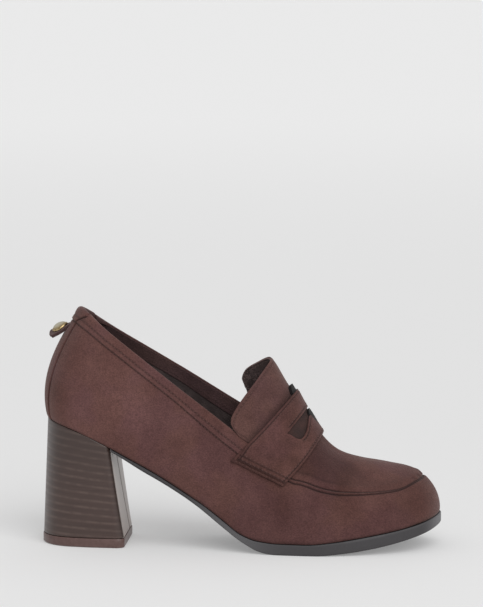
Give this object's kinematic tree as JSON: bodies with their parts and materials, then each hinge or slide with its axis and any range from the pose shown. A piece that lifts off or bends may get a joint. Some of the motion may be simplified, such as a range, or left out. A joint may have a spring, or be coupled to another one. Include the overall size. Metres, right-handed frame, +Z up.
{
  "type": "block heel penny loafer",
  "caption": "Suede penny loafer for a right foot, with a saddle strap and slot over the tongue, a raised apron seam, a stacked block heel and a studded back tab.",
  "frame": {"origin": "middle of the shoe's footprint box, on the floor it stands on", "axes": "+X to the toe, +Y to the inner side of the foot, +Z up"},
  "size_m": [0.2407, 0.0815, 0.1438],
  "materials": {
    "suede": "napped suede",
    "suede_tongue": "napped suede",
    "suede_strap": "napped suede, dark cut edges",
    "suede_tab": "napped suede",
    "lining": "smooth dark lining",
    "rubber": "matte dark grey",
    "stacked_heel": "satin, stacked lines",
    "top_lift": "satin",
    "antique_brass": "antique, polished dome"
  },
  "bodies": {
    "root": {"upper": "suede", "tongue": "suede_tongue", "saddle_strap": "suede_strap", "insole": "lining", "outsole": "rubber", "heel_block": "stacked_heel", "heel_top_lift": "top_lift", "back_tab": "suede_tab", "back_stud": "antique_brass"}
  },
  "joints": []
}
